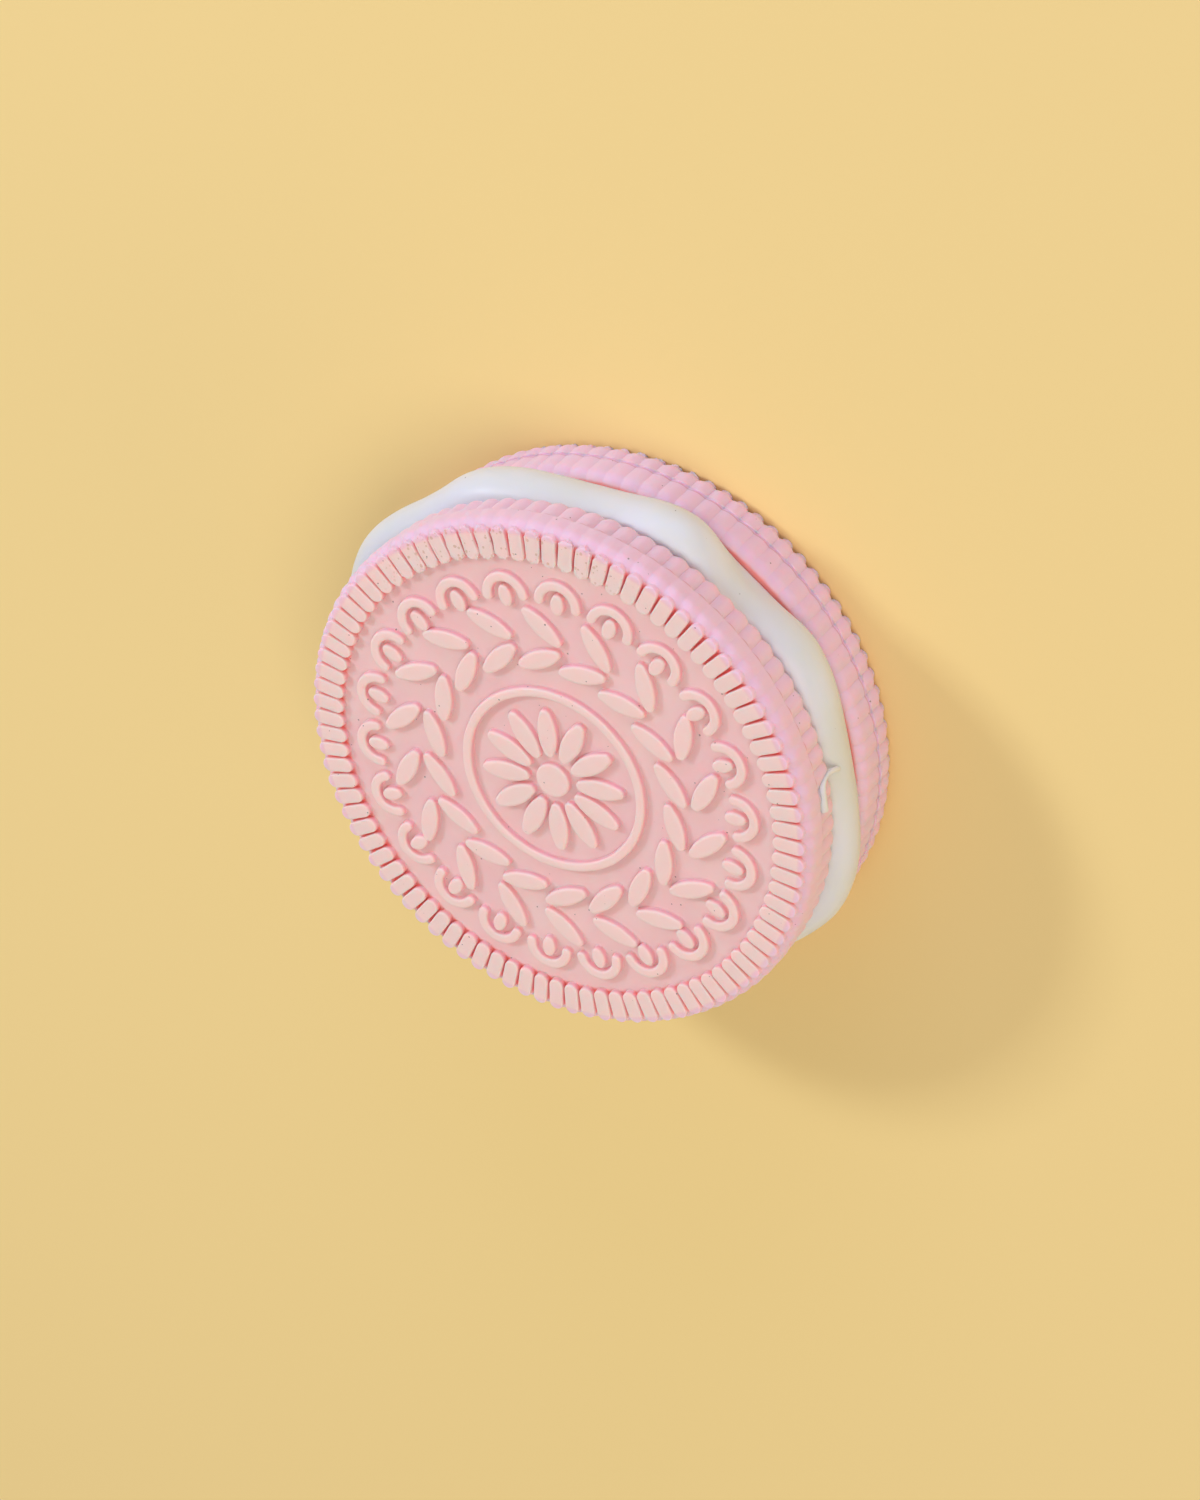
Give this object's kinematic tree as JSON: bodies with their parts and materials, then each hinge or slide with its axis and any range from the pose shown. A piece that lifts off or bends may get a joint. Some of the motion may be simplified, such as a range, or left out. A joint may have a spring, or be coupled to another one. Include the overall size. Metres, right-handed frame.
{
  "type": "round sandwich eraser",
  "caption": "Round rubber eraser shaped like a sandwich biscuit: pink patterned wafers with reeded rims and a soft white filling bulging between them.",
  "frame": {"origin": "on the disc's axis, in the plane of the bottom wafer's raised pattern, which the eraser rests on", "axes": "+Z along the disc's axis, up through both wafers; +X through the middle of a lug"},
  "size_m": [0.0459, 0.0456, 0.0146],
  "materials": {
    "wafer_rubber": "matt moulded pink rubber",
    "filling_rubber": "satin white rubber"
  },
  "bodies": {
    "root": {"top_wafer": "wafer_rubber", "filling": "filling_rubber", "bottom_wafer": "wafer_rubber"}
  },
  "joints": []
}
